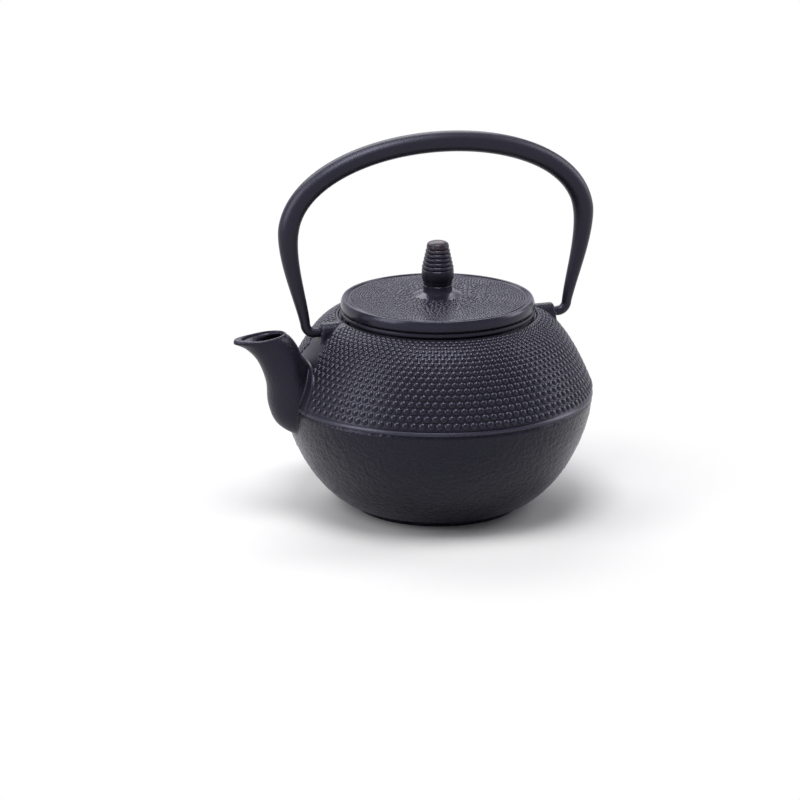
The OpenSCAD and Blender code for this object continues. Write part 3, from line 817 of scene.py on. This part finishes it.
def is_clear_of_dots(place):
    """False on the ears and in the smooth field round the spout."""
    ear_reach = ear_r + ear_margin + max(0, pin_z - place.z) * 0.33
    if abs(place.y) < ear_reach and abs(place.x) > 40 * MM and place.z > pin_z - ear_drop - 1 * MM:
        return False
    field_reach = frame_half_width(place.z) + field_margin
    return not (place.x < 0 and abs(place.y) < field_reach and place.z < seam_z + 25 * MM)


dot = dome("dot", sides=10, rings=3, radius=1, height=0.42)
places = []
walked, row = first_row, 0
shoulder_length = sum((b - a).length for a, b in zip(shoulder, shoulder[1:]))
while walked < shoulder_length - plain_end:
    spot, normal = along_line(shoulder, walked)
    pitch = 2 * math.pi * spot.x / dots_in_row
    for i in range(dots_in_row):
        turn = 2 * math.pi * (i + row % 2 / 2 + hand.uniform(-0.012, 0.012)) / dots_in_row
        aim = Vector((math.cos(turn), math.sin(turn), 0))
        place = aim * spot.x + Vector((0, 0, spot.y))
        size = dot_share * pitch * hand.uniform(0.98, 1.02)
        if is_clear_of_dots(place):
            places.append(standing_at(place, aim * normal.x + Vector((0, 0, normal.y)), size))
    walked += row_share(walked) * pitch
    row += 1
dots = stamp("cast_dots", dot, places)
bpy.data.objects.remove(dot)
print(row, "rows,", len(places), "dots,", len(dots.data.polygons), "faces")

# %% Finish the pot's pieces
pot_finishes = [bowl_iron, enamel_black, shoulder_iron, painted_highlight_seam_iron]
finish_piece(pot_shell, "pot", "cast_iron", *pot_finishes, stands_for=["pot_body"])
for face in pot_shell.data.polygons:
    if is_inside(face):
        face.material_index = pot_finishes.index(enamel_black)
    # the band round the seam gets the paler lacquer, a painted highlight along the bead
    elif seam_z - 0.1 * MM < face.center.z < seam_z + 2.5 * MM:
        face.material_index = pot_finishes.index(painted_highlight_seam_iron)
    elif face.center.z > seam_z:
        face.material_index = pot_finishes.index(shoulder_iron)
finish_piece(spout, "pot", "cast_iron", spout_iron, stands_for=["spout"])
finish_piece(ear, "pot", "cast_iron", spout_iron)
finish_piece(bead, "pot", "cast_iron", spout_iron)
finish_piece(dots, "pot", "cast_iron", dot_iron, smooth=80)

# %% [markdown]
# ## The lid
# The lid is a casting too. A low dome lies inside a raised rim, behind a shallow groove, and rises to a cone
# that carries the knob. A skirt under it drops into the mouth. The dome is covered with small grains: they
# stray near the middle, like coarse sand, and fall into close rings towards the rim.

# %% Lid outline
lid_z = mouth_z + 0.2 * MM
rim_z = lid_z + 4.6 * MM
lid_r = lid_high.x
skirt_r = mouth_r - 0.6 * MM
skirt_in = skirt_r - 3.4 * MM
skirt_z = lid_low.z
bead_r = lid_r - 1.4 * MM
plate_r = bead_r - 3 * MM
neck_r = 7.8 * MM
neck_ring = 3.6 * MM
boss_r = neck_r + 6 * MM
dome_rise = 2 * MM
neck_z = knob_low.z
lid_t = 3 * MM


def dome_z(r):
    """The height of the low dome at a radius."""
    return rim_z - 0.3 * MM + dome_rise * (1 - (r / plate_r) ** 2)


pad_z = dome_z(boss_r) - lid_t + 0.6 * MM
screw_r = 2.25 * MM
under = [(screw_r, neck_z), (screw_r, pad_z), (boss_r - MM, pad_z), (boss_r, dome_z(boss_r) - lid_t)]
under_r = skirt_in - 3 * MM
under += [(r, dome_z(r) - lid_t) for r in [boss_r + (under_r - boss_r) * i / 10 for i in range(1, 11)]]
skirt = [(skirt_in, lid_z - 0.5 * MM), (skirt_in, skirt_z + 0.5 * MM), (skirt_in + 0.5 * MM, skirt_z),
         (skirt_r - 0.8 * MM, skirt_z), (skirt_r, skirt_z + 0.8 * MM), (skirt_r, lid_z - 0.3 * MM),
         (skirt_r + 0.3 * MM, lid_z), (lid_r - 1.1 * MM, lid_z)]
# the rim's face drapes over the mouth's edge, to just under the plane it rests on
rim_face = steps_from(lid_r, lid_z, [
    (-0.95, -0.5), (-0.8, -1.1), (-0.5, -1.35), (-0.15, -1.1), (-0.02, -0.6), (0, 0.4)])
rim_top = curve([(lid_r, lid_z + 1.2 * MM), (lid_r, rim_z - 2 * MM), (lid_r - 0.5 * MM, rim_z - 0.9 * MM),
                 (lid_r - 0.95 * MM, rim_z - 0.35 * MM)], 8)
rim_top += arc((lid_r - 1.4 * MM, rim_z - 0.5 * MM), 0.5 * MM, 15, 90, 6)
rim_back = arc((bead_r - 0.6 * MM, rim_z - 0.5 * MM), 0.5 * MM, 90, 160, 5)
groove = [(bead_r - 1.9 * MM, rim_z - 0.95 * MM), (plate_r + 0.6 * MM, rim_z - 0.9 * MM)]
plate = [(r, dome_z(r)) for r in [plate_r + (boss_r - plate_r) * i / 24 for i in range(25)]]
cone = curve([(boss_r - 0.5 * MM, dome_z(boss_r) + 0.1 * MM), (boss_r - 1.6 * MM, dome_z(boss_r) + 0.55 * MM),
              (neck_r + 2.4 * MM, neck_z - neck_ring - 0.6 * MM),
              (neck_r + 0.5 * MM, neck_z - neck_ring - 0.05 * MM)], 12)
neck = [(neck_r + 0.1 * MM, neck_z - neck_ring - 0.1 * MM), (neck_r, neck_z - neck_ring + 0.4 * MM),
        (neck_r, neck_z - 0.3 * MM), (neck_r - 0.3 * MM, neck_z), (screw_r, neck_z)]
lid_outline = [Vector(p) for p in under + skirt] + rim_face + rim_top + rim_back
lid_outline += [Vector(p) for p in groove + plate] + cone + [Vector(p) for p in neck]
lid = spin_outline("lid_casting", lid_outline, steps=160)
finish_piece(lid, "lid_set", "cast_iron", lid_iron, stands_for=["lid"])

# %% Grains on the lid
speck = dome("speck", sides=6, rings=2, radius=1, height=0.42)
places = []
radius, ring = boss_r + 0.6 * MM, 0
while radius < plate_r - 0.1 * MM:
    outward = (radius - boss_r) / (plate_r - boss_r)
    ring_pitch = (2.3 - 1.0 * outward) * MM
    count = round(2 * math.pi * radius / (1.15 * ring_pitch))
    slope = -2 * dome_rise * radius / plate_r ** 2
    for i in range(count):
        stray = (0.42 - 0.36 * outward) * ring_pitch
        spot = radius + hand.uniform(-stray, stray)
        turn = 2 * math.pi * (i + ring % 2 / 2) / count + hand.uniform(-stray, stray) / radius
        aim = Vector((math.cos(turn), math.sin(turn), 0))
        normal = (Vector((0, 0, 1)) - slope * aim).normalized()
        size = hand.uniform(0.40, 0.52) * ring_pitch
        places.append(standing_at(aim * spot + Vector((0, 0, dome_z(spot))), normal, size, turn))
    radius += ring_pitch
    ring += 1
specks = stamp("lid_grains", speck, places)
bpy.data.objects.remove(speck)
finish_piece(specks, "lid_set", "cast_iron", lid_iron, smooth=80)
print(ring, "rings,", len(places), "grains")

# %% [markdown]
# ## The knob
# The knob is a ribbed cone: a plain band at its foot, six rounded ribs that get smaller, and a round tip.
# It is turned from one outline like the lid, and its worn lacquer was made above.

# %% Knob outline
knob_r = knob_high.x
tip_r = 5.9 * MM
ribs = 6
rib_z = neck_z + 8.6 * MM
tip_rise = 2.3 * MM
rib_top = knob_high.z - tip_rise
rib_pitch = (rib_top - rib_z) / ribs
knob_outline = [Vector(p) for p in [
    (2.2 * MM, neck_z), (neck_r - 0.3 * MM, neck_z), (neck_r - 0.05 * MM, neck_z + 0.3 * MM),
    (neck_r - 0.05 * MM, neck_z + 1.2 * MM), (knob_r - 0.3 * MM, neck_z + 3.2 * MM),
    (knob_r, neck_z + 3.9 * MM), (knob_r, rib_z - 0.3 * MM), (knob_r - 0.35 * MM, rib_z)]]
# each rib: how deep its outline lies, and at which share of the pitch
rib_steps = [(0.38, 0.08), (0.12, 0.2), (0, 0.36), (0.05, 0.64), (0.2, 0.84), (0.5, 0.96)]
for i in range(ribs):
    reach = knob_r - 0.1 * MM - (knob_r - 0.1 * MM - tip_r) * i / (ribs - 0.6)
    low = rib_z + i * rib_pitch
    knob_outline += [Vector((reach - deep * MM, low + share * rib_pitch)) for deep, share in rib_steps]
knob_outline += [Vector((tip_r * math.cos(a), rib_top + tip_rise * math.sin(a))) for a in
                 [math.radians(9 * k) for k in range(11)]]
knob = spin_outline("knob_casting", knob_outline, steps=72)
finish_piece(knob, "lid_set", "cast_iron", knob_iron, stands_for=["knob"])

# %% [markdown]
# ## The bail
# The bail is a bar that a smith tapers towards both ends and bends over a form. It is drawn as a path with a
# radius at each point, so that the taper comes from the path itself. Its ends turn in to the ears as pins.

# %% Bail path
bend_x = ear_x + 3 * MM
bend_r = 5.2 * MM
wide_x = 83.9 * MM
wide_z = pin_z + 53 * MM
top_z = pin_z + 99.2 * MM
bar_full, pin_d = 11.2 * MM, 4.8 * MM
leg_x, leg_z = bend_x + bend_r, pin_z + bend_r
half = [Vector((bend_x - 8 * MM, pin_z)), Vector((bend_x - 3 * MM, pin_z))]
half += [Vector((bend_x + bend_r * math.sin(a), pin_z + bend_r * (1 - math.cos(a))))
         for a in [math.radians(9 * k) for k in range(10)]]
half += curve([(leg_x, leg_z), (leg_x + 2.4 * MM, leg_z + 14 * MM), (wide_x, wide_z - 16 * MM),
               (wide_x, wide_z)], 26)
half += curve([(wide_x, wide_z), (wide_x, wide_z + 28.4 * MM), (45 * MM, top_z), (0, top_z)], 40)[1:]


def bar_radius(point):
    """The bar's radius at a point of its right half: thin in the pins, and full from the widest place up."""
    if point.x < bend_x - 2 * MM and point.y < leg_z:
        return pin_d / 2
    grown = min(max((point.y - leg_z) / (wide_z - leg_z + 4 * MM), 0), 1)
    return (pin_d + 0.5 * MM + (bar_full - pin_d - 0.5 * MM) * grown) / 2


radii = [bar_radius(p) for p in half]
path = half + [Vector((-p.x, p.y)) for p in half[-2::-1]]
bail = tube("bail_bar", [Vector((p.x, 0, p.y)) for p in path], radii + radii[-2::-1], sides=40)
finish_piece(bail, "bail", "black_steel", bar_lacquer, stands_for=["bail_handle"], smooth=50)

# %% [markdown]
# ## The inner pieces
# The tea basket, its screw and its washer show only when the lid is lifted. They are the CAD pieces, with the
# look of brushed stainless sheet.

# %% Stainless pieces
for name in ("infuser_rim", "infuser_wall", "infuser_base", "infuser_band", "knob_screw", "knob_washer"):
    nodes[name].data.materials.clear()
    nodes[name].data.materials.append(sheet_steel)
print("stainless pieces dressed")

# %% [markdown]
# ## Light and camera
# The pot stands on a pale, plain floor in a white tent. Two large soft boxes stand at its sides, one hangs
# above it and the widest one behind. A black pot shows its shape only by what it mirrors, so the boxes are
# wide and a little dim. The tent is white to the camera and in mirrors, and dimmer towards its roof. As a
# lamp it is weak and a touch cool, so that the boxes make the shadows. The floor fades into the tent's white.

# %% Floor and world
fade_from, fade_to = 0.10, 0.26
select_only()
bpy.ops.mesh.primitive_plane_add(size=8, location=(0, 0, 0))
floor = bpy.context.active_object
floor.name = "floor"
paper, shader, place = new_material("white_paper")
shader.inputs["Base Color"].default_value = linear("#cccccc")
shader.inputs["Roughness"].default_value = 0.9


def seen_ray(holder):
    """1 for the rays that look at the white tent: straight from the camera, by a mirror or through glass."""
    rays = add_node(holder, "ShaderNodeLightPath")
    direct = add_node(holder, "ShaderNodeMath", {"operation": "MAXIMUM"})
    either = add_node(holder, "ShaderNodeMath", {"operation": "MAXIMUM"})
    holder.node_tree.links.new(rays.outputs["Is Camera Ray"], direct.inputs[0])
    holder.node_tree.links.new(rays.outputs["Is Glossy Ray"], direct.inputs[1])
    holder.node_tree.links.new(direct.outputs[0], either.inputs[0])
    holder.node_tree.links.new(rays.outputs["Is Transmission Ray"], either.inputs[1])
    return either.outputs[0]


away = add_node(paper, "ShaderNodeVectorMath", {"operation": "LENGTH"})
paper.node_tree.links.new(place, away.inputs[0])
far = add_node(paper, "ShaderNodeMapRange", {"interpolation_type": "SMOOTHSTEP"}, Value=away.outputs["Value"],
               From_Min=fade_from, From_Max=fade_to)
share = add_node(paper, "ShaderNodeMath", {"operation": "MULTIPLY"})
paper.node_tree.links.new(seen_ray(paper), share.inputs[0])
paper.node_tree.links.new(far.outputs[0], share.inputs[1])
glow = add_node(paper, "ShaderNodeEmission", Color=(1, 1, 1, 1), Strength=1.0)
blend = add_node(paper, "ShaderNodeMixShader", Fac=share.outputs[0])
paper.node_tree.links.new(shader.outputs[0], blend.inputs[1])
paper.node_tree.links.new(glow.outputs[0], blend.inputs[2])
paper.node_tree.links.new(blend.outputs[0], paper.node_tree.nodes["Material Output"].inputs["Surface"])
floor.data.materials.append(paper)

world = bpy.data.worlds.new("tent")
bpy.context.scene.world = world
world.use_nodes = True
background = world.node_tree.nodes["Background"]
direction = add_node(world, "ShaderNodeTexCoord").outputs["Generated"]
height = add_node(world, "ShaderNodeSeparateXYZ", Vector=direction).outputs["Z"]
roof = add_node(world, "ShaderNodeMapRange", {"interpolation_type": "SMOOTHSTEP"}, Value=height,
                From_Min=0.2, From_Max=0.47, To_Min=1.0, To_Max=0.6)
strength = add_node(world, "ShaderNodeMapRange", Value=seen_ray(world), To_Min=0.2, To_Max=roof.outputs[0])
world.node_tree.links.new(strength.outputs[0], background.inputs["Strength"])
to_camera = add_node(world, "ShaderNodeLightPath").outputs["Is Camera Ray"]
cool = add_node(world, "ShaderNodeMix", {"data_type": "RGBA"}, Factor=to_camera)
cool.inputs[MIX_A].default_value = linear("#f2f1ff")
cool.inputs[MIX_B].default_value = (1, 1, 1, 1)
world.node_tree.links.new(cool.outputs[MIX_OUT], background.inputs["Color"])
print("floor and tent ready")


# %% Soft boxes
def soft_box(name, place, aim, size, power):
    light = bpy.data.lights.new(name, "AREA")
    light.shape = "RECTANGLE"
    light.size, light.size_y = size
    light.energy = power
    lamp = bpy.data.objects.new(name, light)
    bpy.context.scene.collection.objects.link(lamp)
    lamp.location = place
    lamp.rotation_mode = "QUATERNION"
    lamp.rotation_quaternion = (Vector(aim) - Vector(place)).to_track_quat("-Z", "Y")
    print("%s: %g W" % (name, power))


soft_box("left_box", place=(-0.85, -0.1, 0.65), aim=(0, 0, 0.08), size=(0.5, 0.8), power=7)
soft_box("right_box", place=(0.9, -0.05, 0.6), aim=(0, 0, 0.08), size=(0.45, 0.8), power=5)
soft_box("top_box", place=(-0.1, -0.25, 1.0), aim=(0, 0, 0.1), size=(0.45, 0.45), power=8)
soft_box("back_box", place=(0.0, 0.9, 1.0), aim=(0, 0, 0.11), size=(1.4, 0.7), power=13)

# %% Camera
azimuth, elevation = math.radians(-18.8), math.radians(16.84)
distance, aim_side, aim_height = 1797 * MM, -20.3 * MM, 57.2 * MM
back = Vector((math.sin(azimuth) * math.cos(elevation), -math.cos(azimuth) * math.cos(elevation),
               math.sin(elevation)))
right = Vector((math.cos(azimuth), math.sin(azimuth), 0))
lens = bpy.data.cameras.new("camera")
lens.lens = 148.5
lens.sensor_width = 36
lens.clip_start, lens.clip_end = 0.1, 20
camera = bpy.data.objects.new("camera", lens)
bpy.context.scene.collection.objects.link(camera)
camera.location = aim_side * right + Vector((0, 0, aim_height)) + distance * back
camera.rotation_mode = "QUATERNION"
camera.rotation_quaternion = (-back).to_track_quat("-Z", "Y")
bpy.context.scene.camera = camera
bpy.context.scene.view_settings.view_transform = "Standard"
